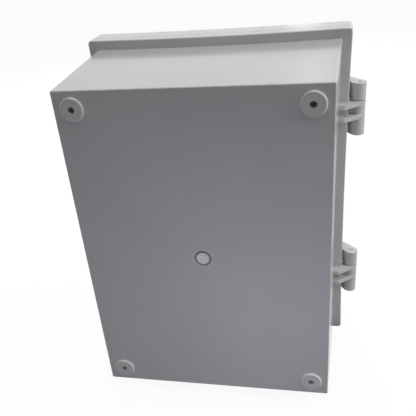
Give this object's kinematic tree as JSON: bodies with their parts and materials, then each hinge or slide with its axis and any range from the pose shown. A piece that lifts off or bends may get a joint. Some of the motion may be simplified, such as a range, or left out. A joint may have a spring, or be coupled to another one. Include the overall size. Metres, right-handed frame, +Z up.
{
  "type": "weatherproof enclosure",
  "caption": "Grey moulded plastic wall box with a hinged, gasketed door, snap latches, a steel mounting plate inside and raised wall pads at the back corners.",
  "frame": {"origin": "midway between the four wall fixing holes, on the plane of the wall pads' faces", "axes": "+Z up along the box's height, +Y back into the wall, so the door faces -Y; +X to the right seen from the front, towards the latches, with the hinges at -X"},
  "size_m": [0.1681, 0.1, 0.2],
  "materials": {
    "grey_moulding": "semi-gloss moulded ABS",
    "seal": "matt foam rubber",
    "pin_steel": "drawn stainless steel",
    "plate_steel": "galvanised sheet",
    "screw_steel": "zinc-plated",
    "insert_brass": "turned"
  },
  "bodies": {
    "box": {"base_housing": "grey_moulding", "mounting_plate": "plate_steel", "plate_insert_upper_left": "insert_brass", "plate_insert_upper_right": "insert_brass", "plate_insert_lower_left": "insert_brass", "plate_insert_lower_right": "insert_brass", "plate_screw_upper_left": "screw_steel", "plate_screw_upper_right": "screw_steel", "plate_screw_lower_left": "screw_steel", "plate_screw_lower_right": "screw_steel", "latch_pin_upper": "pin_steel", "latch_pin_lower": "pin_steel", "hinge_pin_upper": "pin_steel", "hinge_pin_lower": "pin_steel"},
    "door": {"door": "grey_moulding", "door_gasket": "seal"},
    "latch_upper": {"latch_upper": "grey_moulding"},
    "latch_lower": {"latch_lower": "grey_moulding"}
  },
  "joints": [
    {"name": "door_swing", "type": "hinge", "parent": "box", "child": "door", "pos_m": [-0.0798, -0.0807, 0], "axis": [0, 0, -1], "range_deg": [0, 180]},
    {"name": "latch_upper_swing", "type": "hinge", "parent": "box", "child": "latch_upper", "pos_m": [0.0798, -0.0807, 0.055], "axis": [0, 0, 1], "range_deg": [0, 110]},
    {"name": "latch_lower_swing", "type": "hinge", "parent": "box", "child": "latch_lower", "pos_m": [0.0798, -0.0807, -0.055], "axis": [0, 0, 1], "range_deg": [0, 110]}
  ]
}
